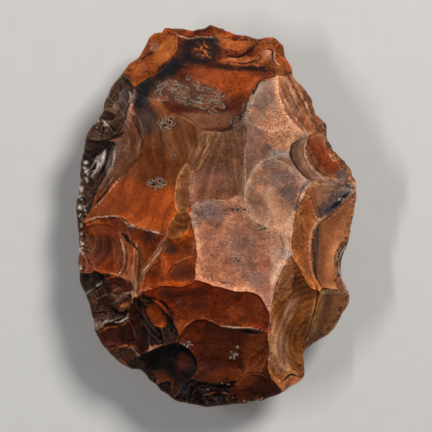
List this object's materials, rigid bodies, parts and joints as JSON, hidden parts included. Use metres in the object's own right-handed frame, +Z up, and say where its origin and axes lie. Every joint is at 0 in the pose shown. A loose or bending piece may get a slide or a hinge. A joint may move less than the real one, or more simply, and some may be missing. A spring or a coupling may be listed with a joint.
{
  "type": "stone hand axe",
  "caption": "Ovate flint hand axe, knapped over both faces to a wavy cutting edge, lying flat on its underside.",
  "frame": {"origin": "middle of the bounding box in plan, on the ground that the axe lies on", "axes": "+X across the blade, +Y along it towards the broad tip, +Z up through the higher face"},
  "size_m": [0.0918, 0.1252, 0.0397],
  "materials": {
    "flint": "glossy knapped flint, orange to dark brown with a pinkish plateau"
  },
  "bodies": {
    "root": {"hand_axe": "flint"}
  },
  "joints": []
}
